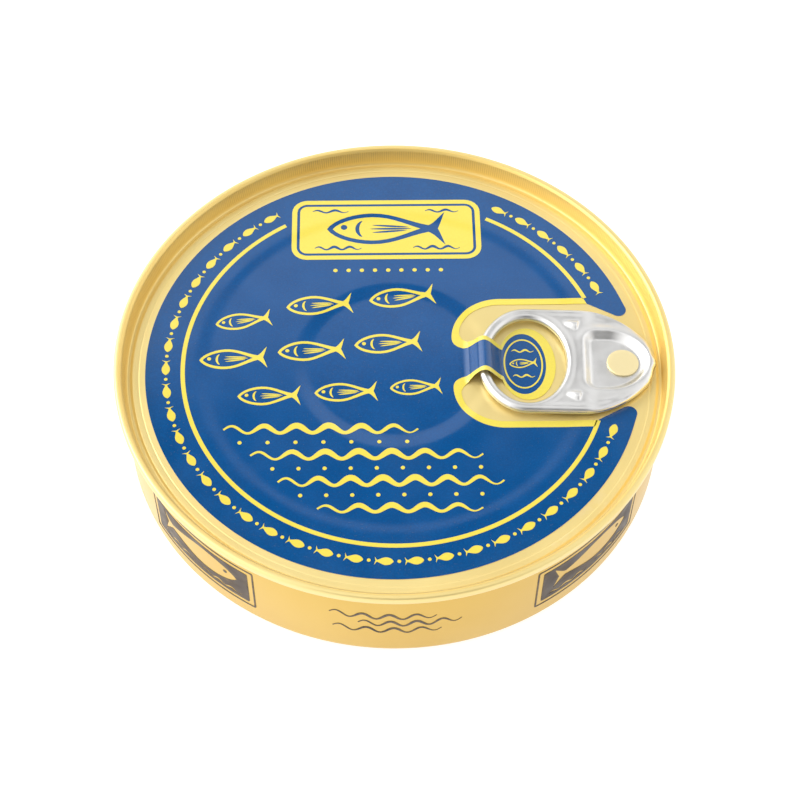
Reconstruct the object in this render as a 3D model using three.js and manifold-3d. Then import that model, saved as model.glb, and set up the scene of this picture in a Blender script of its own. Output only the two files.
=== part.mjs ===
// Round flat fish tin, shut: a drawn gold body, a seamed easy-open end with its rivet,
// a bare aluminium ring tab, and a film label whose tongue is folded over the ring.
// Millimetres. +Z up, origin at the middle of the base, +X from the middle to the tab's nose.

import * as THREE from "three";
import { mergeVertices } from "three/addons/utils/BufferGeometryUtils.js";
import Module from "manifold-3d";

const wasm = await Module();
wasm.setup();

// Driving dimensions

const tinHeight = 21.5;
const roundSteps = 96;
const fitGap = 0.03;

const body = {
  wallRadius: 50.2,
  wallThickness: 0.27,
  cornerRadius: 2.0,
  cornerSteps: 5,
  standInnerRadius: 45.6,
  standSlope: 1.0,
  baseRecess: 0.9,
  baseRingDrop: 0.3,
  baseRingOuter: 36.0,
  baseRingInner: 17.5,
  baseRingSlope: 1.2,
};

const seam = {
  radius: 51.3,
  depth: 2.95,
  crownInner: 50.6,
  crownRadius: 0.6,
  crownSteps: 4,
  straightDepth: 1.4,
  footRadius: 50.25,
};

const end = {
  panelDepth: 3.34,
  panelEdge: 48.15,
  outerStepDrop: 0.12,
  outerStepRadius: 35.6,
  outerStepRun: 2.8,
  innerStepDrop: 0.17,
  innerStepRadius: 17.3,
  innerStepRun: 2.8,
  scoreRadius: 47.1,
  scoreWidth: 0.36,
  scoreDepth: 0.1,
  grooveDepth: 0.46,
  grooveInner: 48.65,
  grooveOuter: 49.3,
  chuckFoot: 49.66,
  chuckTop: 50.2,
  plateThickness: 0.4,
};

const rivet = {
  x: 42.0,
  bossRadius: 3.9,
  shankRadius: 1.7,
  headRadius: 2.95,
  headThickness: 0.38,
  chamfer: 0.15,
  steps: 32,
};

const tab = {
  liftOffPanel: 0.43,
  thickness: 1.8,
  ringX: 24.3,
  ringHalfLength: 9.1,
  halfWidth: 11.6,
  shoulderX: 34.0,
  noseCornerX: 46.6,
  noseCornerY: 4.7,
  noseX: 48.1,
  noseHalfWidth: 0.5,
  turnDegrees: -0.6,
  holeX: 24.4,
  holeY: -0.2,
  holeHalfLength: 7.2,
  holeHalfWidth: 9.5,
  edgeRound: 0.5,
  edgeSteps: 3,
  islandX: 36.2,
  islandHalfWidth: 5.3,
  islandFlatEnd: 39.3,
  islandTipX: 45.4,
  islandDepth: 1.35,
  islandSlope: 1.1,
  rivetHoleRadius: 1.9,
  bumpX: 32.5,
  bumpY: 8.1,
  bumpLength: 3.4,
  bumpWidth: 2.2,
  bumpHeight: 0.45,
};

const label = {
  thickness: 0.25,
  radius: 45.6,
  centreX: -0.27,
  turnDegrees: 1.6,
  cutHalfWidth: 13.3,
  cutStraightStart: 20.0,
  cutStraightEnd: 36.5,
  lobeX: 12.1,
  lobeY: 6.5,
  neckStartX: 14.6,
  neckHalfWidth: 3.85,
  hornX: 42.3,
  hornY: 11.8,
  hornRadius: 1.5,
  discX: 24.4,
  discY: -0.5,
  discHalfLength: 5.3,
  discHalfWidth: 8.1,
  foldStartX: 12.7,
  foldTopX: 16.6,
  foldEndX: 20.6,
  foldHeight: 2.95,
  foldSteps: 18,
  foldOverlap: 0.7,
};

const panelZ = tinHeight - end.panelDepth;
const innerPanelZ = panelZ - end.outerStepDrop;
const middlePanelZ = innerPanelZ - end.innerStepDrop;
const plateZ = middlePanelZ - end.plateThickness;
const tabZ = panelZ + tab.liftOffPanel;

// Shared helpers

function point(x, y) {
  return new THREE.Vector2(x, y);
}

// Points of an elliptical arc from one angle to another, in degrees
function arc(x, y, halfX, halfY, from, to, steps) {
  const points = [];
  for (let i = 0; i <= steps; i++) {
    const angle = THREE.MathUtils.degToRad(from + ((to - from) * i) / steps);
    points.push(point(x + halfX * Math.cos(angle), y + halfY * Math.sin(angle)));
  }
  return points;
}

// A half outline with y > 0, closed by its own mirror image
function mirrored(half) {
  const other = half.filter((p) => p.y > 1e-6).map((p) => point(p.x, -p.y));
  return half.concat(other.reverse());
}

// One closed body with shared vertices and no empty triangles
function closed(geometry) {
  const bare = new THREE.BufferGeometry();
  bare.setAttribute("position", geometry.getAttribute("position").clone());
  if (geometry.index) bare.setIndex(geometry.index.clone());
  const merged = mergeVertices(bare, 1e-4);
  const index = merged.index.array;
  const kept = [];
  for (let i = 0; i < index.length; i += 3) {
    const [a, b, c] = [index[i], index[i + 1], index[i + 2]];
    if (a !== b && b !== c && c !== a) kept.push(a, b, c);
  }
  merged.setIndex(kept);
  return merged;
}

function toSolid(geometry) {
  const shape = closed(geometry);
  return new wasm.Manifold(
    new wasm.Mesh({
      numProp: 3,
      vertProperties: new Float32Array(shape.getAttribute("position").array),
      triVerts: new Uint32Array(shape.index.array),
    }),
  );
}

function toGeometry(solid) {
  const mesh = solid.getMesh();
  const geometry = new THREE.BufferGeometry();
  geometry.setAttribute("position", new THREE.BufferAttribute(mesh.vertProperties, 3));
  geometry.setIndex(new THREE.BufferAttribute(mesh.triVerts, 1));
  geometry.computeVertexNormals();
  return geometry;
}

// A profile of radius and height, from the axis round to the axis, turned about +Z
function turned(profile, steps) {
  return new THREE.LatheGeometry(profile, steps).rotateX(Math.PI / 2);
}

// An outline in the XY plane, raised from one height to another
function raised(outline, fromZ, toZ) {
  const shape = new THREE.Shape(outline);
  const geometry = new THREE.ExtrudeGeometry(shape, { depth: toZ - fromZ, bevelEnabled: false });
  return geometry.translate(0, 0, fromZ);
}

// The body: a drawn cup with a standing ring under a recessed base

function bodyProfile() {
  const recess = body.baseRecess;
  const ring = recess - body.baseRingDrop;
  const standOuter = body.wallRadius - body.cornerRadius;
  const lipZ = tinHeight - seam.depth - fitGap;
  const lipInner = body.wallRadius - body.wallThickness;
  const topZ = plateZ - fitGap;
  return [
    point(0, recess),
    point(body.baseRingInner - body.baseRingSlope, recess),
    point(body.baseRingInner, ring),
    point(body.baseRingOuter, ring),
    point(body.baseRingOuter + body.baseRingSlope, recess),
    point(body.standInnerRadius - body.standSlope, recess),
    point(body.standInnerRadius, 0),
    ...arc(standOuter, body.cornerRadius, body.cornerRadius, body.cornerRadius, -90, 0, body.cornerSteps),
    point(body.wallRadius, lipZ),
    point(lipInner, lipZ),
    point(lipInner, topZ),
    point(0, topZ),
  ];
}

// The end: stepped panel, score, countersink, chuck wall and the rolled seam

function panelSteps(lift) {
  return [
    point(0, middlePanelZ + lift),
    point(end.innerStepRadius - end.innerStepRun / 2, middlePanelZ + lift),
    point(end.innerStepRadius + end.innerStepRun / 2, innerPanelZ + lift),
    point(end.outerStepRadius - end.outerStepRun / 2, innerPanelZ + lift),
    point(end.outerStepRadius + end.outerStepRun / 2, panelZ + lift),
  ];
}

function endProfile() {
  const grooveZ = panelZ - end.grooveDepth;
  const skirt = body.wallRadius - body.wallThickness - fitGap;
  const crownX = seam.radius - seam.crownRadius;
  const crownZ = tinHeight - seam.crownRadius;
  const upper = [
    ...panelSteps(0),
    point(end.scoreRadius - end.scoreWidth / 2, panelZ),
    point(end.scoreRadius, panelZ - end.scoreDepth),
    point(end.scoreRadius + end.scoreWidth / 2, panelZ),
    point(end.panelEdge, panelZ),
    point((end.panelEdge + end.grooveInner) / 2 + 0.1, panelZ - end.grooveDepth / 3),
    point(end.grooveInner, grooveZ),
    point(end.grooveOuter, grooveZ),
    point(end.chuckFoot, grooveZ + 0.36),
    point(end.chuckTop, tinHeight - 0.3),
    point((end.chuckTop + seam.crownInner) / 2, tinHeight - 0.08),
    point(seam.crownInner, tinHeight),
    ...arc(crownX, crownZ, seam.crownRadius, seam.crownRadius, 90, 0, seam.crownSteps),
    point(seam.radius, tinHeight - seam.straightDepth),
    point(seam.radius - 0.2, tinHeight - seam.straightDepth - 0.5),
    point(seam.footRadius, tinHeight - seam.depth),
  ];
  const under = [point(skirt, tinHeight - seam.depth), point(skirt, plateZ), point(0, plateZ)];
  return upper.concat(under).reverse();
}

// The tab sits slightly askew, so it and its rivet are turned about the middle of the ring
function turnedWithTab(geometry) {
  const turn = THREE.MathUtils.degToRad(tab.turnDegrees);
  return geometry.translate(-tab.ringX, 0, 0).rotateZ(turn).translate(tab.ringX, 0, 0);
}

// The rivet is drawn up out of the panel: a low boss, a shank and a flattened head
function rivetProfile() {
  const bossTop = tabZ - fitGap;
  const headBottom = tabZ + tab.thickness - tab.islandDepth + fitGap;
  const headTop = headBottom + rivet.headThickness;
  return [
    point(0, panelZ - end.plateThickness / 2),
    point(rivet.bossRadius, panelZ - end.plateThickness / 2),
    point(rivet.bossRadius, bossTop - rivet.chamfer),
    point(rivet.bossRadius - rivet.chamfer, bossTop),
    point(rivet.shankRadius, bossTop),
    point(rivet.shankRadius, headBottom),
    point(rivet.headRadius, headBottom),
    point(rivet.headRadius, headTop - rivet.chamfer),
    point(rivet.headRadius - rivet.chamfer, headTop),
    point(0, headTop),
  ];
}

function endGeometry() {
  const plate = toSolid(turned(endProfile(), roundSteps));
  const post = toSolid(turnedWithTab(turned(rivetProfile(), rivet.steps).translate(rivet.x, 0, 0)));
  return toGeometry(plate.add(post));
}

// The ring tab: curled edges, a finger hole, a sunk island round the rivet and two bumps

function tabOutline() {
  const nose = point(tab.noseCornerX, tab.noseCornerY);
  const shoulder = point(tab.shoulderX, tab.halfWidth);
  const side = new THREE.CubicBezierCurve(
    nose,
    point(nose.x - 3.1, nose.y + 3.8),
    point(shoulder.x + 5.2, shoulder.y),
    shoulder,
  );
  return mirrored([
    point(tab.noseX, tab.noseHalfWidth),
    point(tab.noseX - 0.45, tab.noseHalfWidth + 1.1),
    point(tab.noseX - 0.8, tab.noseHalfWidth + 2.6),
    ...side.getPoints(8),
    ...arc(tab.ringX, 0, tab.ringHalfLength, tab.halfWidth, 90, 180, 12),
  ]);
}

// The floor of the island; its walls slope outwards from here up to the crown
function islandOutline() {
  const corner = 1.0;
  const left = tab.islandX + corner;
  const top = tab.islandHalfWidth - corner;
  const tip = new THREE.CubicBezierCurve(
    point(tab.islandTipX, 0),
    point(tab.islandTipX, 2.8),
    point(tab.islandFlatEnd + 2.9, tab.islandHalfWidth - 0.1),
    point(tab.islandFlatEnd, tab.islandHalfWidth),
  );
  return mirrored([...tip.getPoints(10), ...arc(left, top, corner, corner, 90, 180, 3)]);
}

function islandSink() {
  const sink = new THREE.ExtrudeGeometry(new THREE.Shape(islandOutline()), {
    depth: 1,
    bevelThickness: tab.islandDepth,
    bevelSize: tab.islandSlope,
    bevelSegments: 1,
  });
  return sink.translate(0, 0, tab.thickness);
}

function tabBump(side) {
  const bump = new THREE.SphereGeometry(1, 16, 10);
  bump.scale(tab.bumpLength / 2, tab.bumpWidth / 2, tab.bumpHeight + 0.1);
  return bump.translate(tab.bumpX, side * tab.bumpY, tab.thickness - 0.1);
}

function tabGeometry() {
  const shape = new THREE.Shape(tabOutline());
  const hole = arc(tab.holeX, tab.holeY, tab.holeHalfLength, tab.holeHalfWidth, 0, 350, 35);
  shape.holes.push(new THREE.Path(hole));
  const blank = new THREE.ExtrudeGeometry(shape, {
    depth: tab.thickness - 2 * tab.edgeRound,
    bevelThickness: tab.edgeRound,
    bevelSize: tab.edgeRound,
    bevelOffset: -tab.edgeRound,
    bevelSegments: tab.edgeSteps,
  });
  blank.translate(0, 0, tab.edgeRound);
  const bore = arc(rivet.x, 0, tab.rivetHoleRadius, tab.rivetHoleRadius, 0, 345, 23);
  const solid = toSolid(blank)
    .subtract(toSolid(islandSink()))
    .subtract(toSolid(raised(bore, -1, tab.thickness + 1)))
    .add(toSolid(tabBump(1)))
    .add(toSolid(tabBump(-1)));
  return turnedWithTab(toGeometry(solid));
}

// The film label: a sheet on the stepped panel, cut round the tab, and the folded tongue

// One side of the label; the disc on the tongue's end lies a little off the middle line
function labelSide(side) {
  const hornTurn = 18.5;
  const cutTop = label.cutHalfWidth - label.lobeY;
  const cutLength = label.cutStraightStart - label.lobeX;
  const neckAngle = THREE.MathUtils.radToDeg(Math.asin(label.neckHalfWidth / label.discHalfWidth));
  const disc = arc(label.discX, 0, label.discHalfLength, label.discHalfWidth, 0, 180 - neckAngle, 14);
  const half = [
    ...disc.map((p) => point(p.x, p.y + side * label.discY)),
    point(label.neckStartX, label.neckHalfWidth),
    point(label.lobeX + 1.1, label.lobeY - 1.7),
    ...arc(label.cutStraightStart, label.lobeY, cutLength, cutTop, 180, 90, 7),
    point(label.cutStraightEnd, label.cutHalfWidth),
    ...arc(label.hornX, label.hornY, label.hornRadius, label.hornRadius, -115, 25, 6),
    ...arc(label.centreX, 0, label.radius, label.radius, hornTurn, 180, 44),
  ];
  return half.map((p) => point(p.x, side * p.y));
}

function labelOutline() {
  const left = labelSide(-1).reverse().slice(1, -1);
  return labelSide(1).concat(left);
}

function filmProfile() {
  const reach = label.radius + 1.2;
  const upper = panelSteps(fitGap + label.thickness).concat(point(reach, panelZ + fitGap + label.thickness));
  const lower = panelSteps(fitGap).concat(point(reach, panelZ + fitGap));
  return lower.concat(upper.reverse());
}

// Height of the tongue's underside: up from the panel's middle, over the ring, down into it
function foldHeightAt(x) {
  const top = panelZ + label.foldHeight;
  if (x <= label.foldTopX) {
    const t = THREE.MathUtils.clamp((x - label.foldStartX) / (label.foldTopX - label.foldStartX), 0, 1);
    const low = middlePanelZ + fitGap;
    return low + (top - low) * (0.5 - 0.5 * Math.cos(Math.PI * t));
  }
  const t = THREE.MathUtils.clamp((x - label.foldTopX) / (label.foldEndX - label.foldTopX), 0, 1);
  const low = innerPanelZ + fitGap;
  return low + (top - low) * (0.5 + 0.5 * Math.cos(Math.PI * t));
}

function tongueGeometry() {
  const from = label.foldStartX - label.foldOverlap;
  const to = label.foldEndX + label.foldOverlap;
  const under = [];
  const over = [];
  for (let i = 0; i <= label.foldSteps; i++) {
    const x = from + ((to - from) * i) / label.foldSteps;
    const slope = (foldHeightAt(x + 0.01) - foldHeightAt(x - 0.01)) / 0.02;
    const z = foldHeightAt(x);
    under.push(point(x, z));
    over.push(point(x, z + label.thickness * Math.hypot(1, slope)));
  }
  const strip = new THREE.ExtrudeGeometry(new THREE.Shape(under.concat(over.reverse())), {
    depth: 4 * label.neckHalfWidth,
    bevelEnabled: false,
  });
  return strip.translate(0, 0, -2 * label.neckHalfWidth).rotateX(Math.PI / 2);
}

function labelGeometry() {
  const turn = THREE.MathUtils.degToRad(label.turnDegrees);
  const low = middlePanelZ - 1;
  const high = tinHeight + 1;
  const plan = toSolid(raised(labelOutline(), low, high).rotateZ(turn));
  const gapWidth = label.foldEndX - label.foldStartX - 0.2;
  const gap = new THREE.BoxGeometry(gapWidth, 12, high - low);
  gap.translate((label.foldStartX + label.foldEndX) / 2, 0, (low + high) / 2);
  const sheet = toSolid(turned(filmProfile(), roundSteps)).subtract(toSolid(gap.rotateZ(turn)));
  const tongue = toSolid(tongueGeometry().rotateZ(turn));
  return toGeometry(sheet.add(tongue).intersect(plan));
}

// The finished tin

function piece(name, geometry, colour, metalness, roughness) {
  const material = new THREE.MeshStandardMaterial({ color: colour, metalness, roughness });
  const mesh = new THREE.Mesh(geometry, material);
  mesh.name = name;
  return mesh;
}

const tin = new THREE.Group();
tin.name = "fish_tin";

tin.add(piece("can_body", closed(turned(bodyProfile(), roundSteps)), 0xe3ba6a, 0.9, 0.4));
tin.add(piece("lid", endGeometry(), 0xe8c67c, 0.9, 0.38));

const ringTab = piece("pull_tab", tabGeometry(), 0xd9d9d6, 0.95, 0.32);
ringTab.position.z = tabZ;
tin.add(ringTab);

tin.add(piece("label", labelGeometry(), 0x2d629a, 0.0, 0.25));

export default tin;
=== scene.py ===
import math

import bmesh
import bpy
from mathutils import Matrix, Vector
from mathutils.kdtree import KDTree


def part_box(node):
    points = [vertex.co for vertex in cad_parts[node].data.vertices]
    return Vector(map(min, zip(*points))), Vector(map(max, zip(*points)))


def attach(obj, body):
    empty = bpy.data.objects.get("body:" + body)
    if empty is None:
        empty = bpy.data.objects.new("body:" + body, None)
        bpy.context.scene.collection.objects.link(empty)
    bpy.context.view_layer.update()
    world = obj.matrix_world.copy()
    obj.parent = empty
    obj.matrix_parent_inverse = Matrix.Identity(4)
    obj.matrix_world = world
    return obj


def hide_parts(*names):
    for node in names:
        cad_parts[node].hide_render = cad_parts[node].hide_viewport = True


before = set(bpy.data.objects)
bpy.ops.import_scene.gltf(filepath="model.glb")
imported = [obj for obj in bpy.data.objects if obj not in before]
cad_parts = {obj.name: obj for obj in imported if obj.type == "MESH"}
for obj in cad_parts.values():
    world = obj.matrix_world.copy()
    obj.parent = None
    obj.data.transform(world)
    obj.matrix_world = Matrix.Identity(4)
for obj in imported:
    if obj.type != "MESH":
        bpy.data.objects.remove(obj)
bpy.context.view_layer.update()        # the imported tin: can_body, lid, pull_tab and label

mm = 0.001               # every piece is shaped in millimetres and scaled to metres at the end

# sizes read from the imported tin, in millimetres
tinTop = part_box("lid")[1].z / mm
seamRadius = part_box("lid")[1].x / mm
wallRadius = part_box("can_body")[1].x / mm
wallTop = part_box("can_body")[1].z / mm
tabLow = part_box("pull_tab")[0] / mm
tabRide = 0.43           # the tab rides this far above the panel
panelTop = tabLow.z - tabRide


# Shader helpers

def addNode(tree, kind, inputs=(), **settings):
    # an input is a value or another node's output
    node = tree.nodes.new(kind)
    for name, value in settings.items():
        setattr(node, name, value)
    for label, value in dict(inputs).items():
        if isinstance(value, bpy.types.NodeSocket):
            tree.links.new(value, node.inputs[label])
        else:
            node.inputs[label].default_value = value
    return node


def mathNode(tree, kind, first, second=0.0):
    return addNode(tree, "ShaderNodeMath", {0: first, 1: second}, operation=kind).outputs[0]


def times(tree, first, *others):
    for other in others:
        first = mathNode(tree, "MULTIPLY", first, other)
    return first


def mapNode(tree, source, span, start=0.0, end=1.0, kind="LINEAR"):
    # start where the source is at or below the span, end where it is above
    return addNode(tree, "ShaderNodeMapRange", {0: source, 1: span[0], 2: span[1], 3: start, 4: end},
                   interpolation_type=kind).outputs[0]


def mixColour(tree, mask, first, second):
    return addNode(tree, "ShaderNodeMix", {0: mask, 6: first, 7: second}, data_type="RGBA").outputs[2]


def bumpInto(tree, shader, height, strength, distance):
    bump = addNode(tree, "ShaderNodeBump", {"Height": height, "Strength": strength, "Distance": distance})
    tree.links.new(bump.outputs[0], shader.inputs["Normal"])


# Camera and light

cameraSetup = {
    "place": (1.088, -195.216, 266.206),  # mm from the middle of the rim's widest circle
    "rimDepth": 0.26,                     # that circle below the top of the tin
    "elevation": 55.249,
    "roll": 0.788,
    "lens": 81.07,
}

lightSetup = {
    "sky": 1.19,               # even white tent
    "leftBoost": 1.85,         # brighter card on the left
    "leftSpan": (-0.9, -0.1),
    "rightBoost": 0.50,        # and a weaker one on the right
    "rightSpan": (0.25, 0.85),
    "darkLow": 0.803,          # sine of the height where the dark panel of the ceiling starts
    "darkSoft": (0.010, 0.02, 0.05),      # its lower edge, upper edge and sides
    "darkHigh": 0.880,
    "darkWide": 0.24,
    "darkBehind": (0.0, 0.12),
    "gapWay": (0.03, -0.740, 0.672),      # the gap in the tent that the camera looks through
    "gapEdge": 0.962,
    "gapSoft": 0.016,
    "gapLevel": 0.05,
    "frontLevel": 0.465,       # the camera's side of the room is dimmer
    "frontSpan": (-0.75, -0.05),
    "floorColor": (0.45, 0.45, 0.45, 1),
    "floorGlow": 0.78,
    "floorRough": 0.9,
    "floorShine": 0.1,
    "floorSize": 3.0,
    "keyPower": 2.7,
    "keySize": 0.5,
    "keyPlace": (-0.62, 0.22, 0.56),
    "keyAim": (0, 0, 0.01),
}


def clearSelection():
    if bpy.context.object and bpy.context.object.mode != "OBJECT":
        bpy.ops.object.mode_set(mode="OBJECT")
    bpy.ops.object.select_all(action="DESELECT")


def pick(piece):
    clearSelection()
    piece.select_set(True)
    bpy.context.view_layer.objects.active = piece


def putObject(name, data):
    piece = bpy.data.objects.new(name, data)
    bpy.context.collection.objects.link(piece)
    return piece


def addCamera():
    c = cameraSetup
    x, y, z = c["place"]
    place = Vector((x, y, z + tinTop - c["rimDepth"])) * mm
    data = bpy.data.cameras.new("photoCamera")
    data.lens = c["lens"]
    data.sensor_width = 36
    data.clip_start = 0.01
    data.dof.use_dof = False
    camera = putObject("photoCamera", data)
    tilt = Matrix.Rotation(math.radians(90 - c["elevation"]), 4, "X")
    roll = Matrix.Rotation(math.radians(c["roll"]), 4, "Z")
    camera.matrix_world = Matrix.Translation(place) @ tilt @ roll
    bpy.context.scene.camera = camera


def addKey():
    s = lightSetup
    bpy.ops.object.light_add(type="AREA", location=s["keyPlace"])
    light = bpy.context.object
    light.name = "keySoftbox"
    light.data.energy = s["keyPower"]
    light.data.size = s["keySize"]
    aim = Vector(s["keyAim"]) - Vector(s["keyPlace"])
    light.rotation_euler = aim.to_track_quat("-Z", "Y").to_euler()


def addWorld():
    # a tent whose brightness depends on the way one looks: right, back and up are the three axes
    s = lightSetup
    world = bpy.data.worlds.new("studioTent")
    bpy.context.scene.world = world
    world.use_nodes = True
    tree = world.node_tree
    tree.nodes.clear()
    way = addNode(tree, "ShaderNodeTexCoord").outputs["Generated"]
    right, back, up = addNode(tree, "ShaderNodeSeparateXYZ", {0: way}).outputs

    def ramp(source, span, start, end):
        return mapNode(tree, source, span, start, end, "SMOOTHSTEP")

    lowSoft, highSoft, sideSoft = s["darkSoft"]
    above = ramp(up, (s["darkLow"], s["darkLow"] + lowSoft), 0, 1)
    below = ramp(up, (s["darkHigh"], s["darkHigh"] + highSoft), 1, 0)
    middle = ramp(mathNode(tree, "ABSOLUTE", right), (s["darkWide"] - sideSoft, s["darkWide"]), 1, 0)
    dark = times(tree, above, below, middle, ramp(back, s["darkBehind"], 0, 1))
    cards = mathNode(tree, "ADD", ramp(right, s["leftSpan"], s["leftBoost"], 0),
                     ramp(right, s["rightSpan"], 0, s["rightBoost"]))
    even = times(tree, ramp(back, s["frontSpan"], s["frontLevel"], 1), s["sky"])
    bright = mathNode(tree, "ADD", cards, even)
    facing = addNode(tree, "ShaderNodeVectorMath", {0: way, 1: s["gapWay"]}, operation="DOT_PRODUCT")
    gap = ramp(facing.outputs["Value"], (s["gapEdge"], s["gapEdge"] + s["gapSoft"]), 1, s["gapLevel"])
    strength = times(tree, bright, mathNode(tree, "SUBTRACT", 1.0, dark), gap)
    ground = addNode(tree, "ShaderNodeBackground", {"Strength": strength})
    addNode(tree, "ShaderNodeOutputWorld", {0: ground.outputs[0]})


def addFloor():
    s = lightSetup
    bpy.ops.mesh.primitive_plane_add(size=s["floorSize"])
    floor = bpy.context.object
    floor.name = "studioFloor"
    paint = bpy.data.materials.new("floorWhite")
    paint.use_nodes = True
    shader = paint.node_tree.nodes["Principled BSDF"]
    for label, value in {"Base Color": s["floorColor"], "Roughness": s["floorRough"],
                         "Specular IOR Level": s["floorShine"], "Emission Color": (1, 1, 1, 1),
                         "Emission Strength": s["floorGlow"]}.items():
        shader.inputs[label].default_value = value
    floor.data.materials.append(paint)


clearSelection()
addCamera()
addWorld()
addKey()
addFloor()
bpy.context.scene.view_settings.view_transform = "Standard"
print("stage: camera, tent and floor are up")


# Shared shader groups

def newGroup(name, inputs, outputs):
    # a shader group whose named sockets are all plain numbers
    group = bpy.data.node_groups.new(name, "ShaderNodeTree")
    for label, value in inputs.items():
        socket = group.interface.new_socket(label, in_out="INPUT", socket_type="NodeSocketFloat")
        socket.default_value = value
    for label in outputs:
        group.interface.new_socket(label, in_out="OUTPUT", socket_type="NodeSocketFloat")
    entry = group.nodes.new("NodeGroupInput")
    leave = group.nodes.new("NodeGroupOutput")
    return group, entry.outputs, leave.inputs


def noiseNode(tree, scale, detail):
    place = addNode(tree, "ShaderNodeTexCoord").outputs["Object"]
    noise = addNode(tree, "ShaderNodeTexNoise", {"Vector": place, "Scale": scale, "Detail": detail})
    return noise.outputs[0]


def makeGrain():
    # fine lacquer grain with slow cloudy patches, both from 0 to 1
    scales = {"Grain scale": 4000.0, "Cloud scale": 60.0}
    group, given, out = newGroup("lacquerGrain", scales, ["Grain", "Cloud"])
    for label, detail in (("Grain", 2.0), ("Cloud", 3.0)):
        group.links.new(noiseNode(group, given[label + " scale"], detail), out[label])
    return group


def makeEdgeWear():
    # rubbed corners, from the surface's own pointiness, broken up by noise
    edgeSpan, spotSpan = (0.52, 0.60), (0.42, 0.62)
    group, given, out = newGroup("edgeWear", {"Amount": 0.5, "Breakup scale": 900.0}, ["Wear"])
    edge = mapNode(group, addNode(group, "ShaderNodeNewGeometry").outputs["Pointiness"], edgeSpan)
    patch = mapNode(group, noiseNode(group, given["Breakup scale"], 4.0), spotSpan)
    group.links.new(times(group, edge, patch, given["Amount"]), out["Wear"])
    return group


def makeSmudge():
    # finger smudges, for roughness
    cloudSpan = (0.35, 0.65)
    values = {"Smudge scale": 120.0, "Low": 0.2, "High": 0.4}
    group, given, out = newGroup("smudge", values, ["Roughness", "Mask"])
    cloud = noiseNode(group, given["Smudge scale"], 5.0)
    group.links.new(mapNode(group, cloud, cloudSpan, given["Low"], given["High"]), out["Roughness"])
    group.links.new(cloud, out["Mask"])
    return group


grainGroup = makeGrain()
wearGroup = makeEdgeWear()
smudgeGroup = makeSmudge()


def useGroup(tree, group, values):
    return addNode(tree, "ShaderNodeGroup", values, node_tree=group).outputs


# Finishes

goldFinish = {
    # the wall's gold is a darker, deeper copy of the lid's: painted shade for the shadowed floor that the
    # wall reflects
    "wall": (0.715, 0.466, 0.080, 1),
    "wallDeep": (0.685, 0.436, 0.070, 1),
    "wallMetal": 0.60,
    "lid": (0.872, 0.705, 0.292, 1),
    "lidDeep": (0.850, 0.665, 0.256, 1),
    "lidMetal": 0.60,
    "rivet": (0.88, 0.75, 0.42, 1),
    "rivetDeep": (0.86, 0.72, 0.38, 1),
    "rivetMetal": 0.5,
    "coat": 0.4,
    "coatRough": 0.28,
    "scales": (5200.0, 45.0, 70.0),       # of the grain, the clouds and the smudges
    "cloudSpan": (0.35, 0.65),
    "rough": (0.36, 0.44),
    "worn": (0.90, 0.80, 0.58, 1),
    "wear": (0.12, 700.0),                # amount, and scale of its breakup
    "grainHeight": 0.35,
    "bump": (0.35, 0.00003),
    # painted shade: the deep orange that the shaded trough and chuck wall take on
    "troughPaintedShade": (0.90, 0.585, 0.125, 1),
    "troughShadeSpan": (48.3, 49.8),           # radii between which the painted shade of the trough comes in
    "troughTint": 0.56,
    "innerSpan": (50.25, 50.65),          # radii between which the inside of the rim ends
    "knurlCount": 720,
    "knurlFoot": (3.1, 2.6),              # depths below the top where the ribs start and end
    "knurlHead": (0.7, 0.3),
    "knurlPatches": (0.40, 0.60),
    "knurlWeakest": 0.35,
    "knurlHeight": 1.6,
    "knurlShadeColour": (0.52, 0.33, 0.07, 1),
    "knurlShade": 0.5,
}

tabFinish = {
    "clean": (0.79, 0.785, 0.775, 1),
    "dull": (0.70, 0.695, 0.68, 1),
    "scales": (6000.0, 210.0, 230.0),
    "cloudSpan": (0.42, 0.70),
    "rough": (0.28, 0.40),
    "worn": (0.86, 0.86, 0.86, 1),
    "wear": (0.4, 1500.0),
    "grainHeight": 0.12,
    "dentSpan": (0.3, 0.7),
    "bump": (0.4, 0.00004),
}

filmFinish = {
    "blue": (0.0040, 0.080, 0.262, 1),
    "blueDeep": (0.0024, 0.060, 0.204, 1),
    "yellow": (0.80, 0.665, 0.10, 1),
    "yellowDeep": (0.76, 0.63, 0.085, 1),
    "back": (0.80, 0.74, 0.50, 1),
    "rough": (0.096, 0.162),
    "backRough": (0.32, 0.54),
    "ior": 1.6,
    "scales": (2600.0, 160.0, 90.0),
    "cloudSpan": (0.35, 0.65),
    "cloudShare": 0.35,
    "mottleShare": 0.65,
    "speck": (0.45, 0.55, 0.7, 1),
    "speckSpan": (0.62, 0.74),
    "speckTint": 0.05,
    "bump": (0.15, 0.00003),
}

wallInkFinish = {
    "dark": (0.052, 0.037, 0.031, 1),
    "darkWarm": (0.095, 0.066, 0.045, 1),
    "scales": (3000.0, 120.0, 200.0),
    "cloudSpan": (0.35, 0.65),
    "rough": (0.368, 0.598),
    "shine": 0.42,
    "worn": goldFinish["wallDeep"],
    "wear": (0.15, 1200.0),
    "bump": (0.2, 0.00003),
}


def startFinish(name, f, rough, **sockets):
    # the grain, clouds and smudged roughness that every finish has
    material = bpy.data.materials.new(name)
    material.use_nodes = True
    tree = material.node_tree
    shader = tree.nodes["Principled BSDF"]
    for label, value in sockets.items():
        shader.inputs[label.replace("_", " ")].default_value = value
    fine, slow, broad = f["scales"]
    grain = useGroup(tree, grainGroup, {"Grain scale": fine, "Cloud scale": slow})
    smudge = useGroup(tree, smudgeGroup, {"Smudge scale": broad, "Low": rough[0], "High": rough[1]})
    tree.links.new(smudge["Roughness"], shader.inputs["Roughness"])
    noise = {"Grain": grain["Grain"], "Cloud": grain["Cloud"], "Mask": smudge["Mask"]}
    return material, tree, shader, noise


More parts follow.
